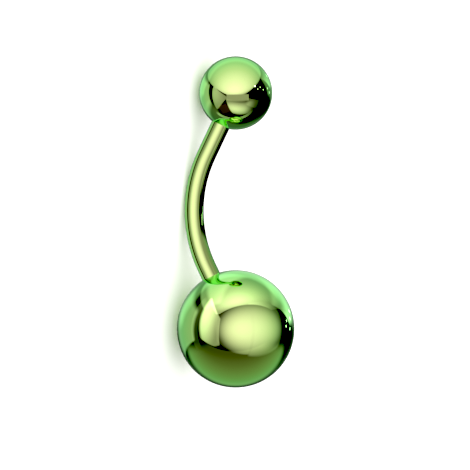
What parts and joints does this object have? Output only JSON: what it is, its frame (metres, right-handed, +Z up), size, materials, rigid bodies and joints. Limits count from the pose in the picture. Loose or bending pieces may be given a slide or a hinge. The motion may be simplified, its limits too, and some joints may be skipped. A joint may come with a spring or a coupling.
{
  "type": "navel ring",
  "caption": "Curved barbell with a small and a large mirror-polished green metal ball screwed onto its ends, lying on its balls and its bow.",
  "frame": {"origin": "on the surface that the ring lies on, below the middle of its bounding box", "axes": "+X along the ring towards its large ball, -Y to the side to which the bow of the bar leans, +Z up from the surface"},
  "size_m": [0.0224, 0.008, 0.008],
  "materials": {
    "green_plated_steel": "mirror-polished surgical steel under a green titanium interference coating"
  },
  "bodies": {
    "bar": {"bar": "green_plated_steel"},
    "top_ball": {"top_ball": "green_plated_steel"},
    "bottom_ball": {"bottom_ball": "green_plated_steel"}
  },
  "joints": [
    {"name": "top_ball_unscrew", "type": "slide", "parent": "bar", "child": "top_ball", "axis": [-0.936, 0.1948, 0.2932], "range_m": [0, 0.0022]},
    {"name": "bottom_ball_unscrew", "type": "slide", "parent": "bar", "child": "bottom_ball", "axis": [0.8659, 0.1941, 0.461], "range_m": [0, 0.0022]}
  ]
}
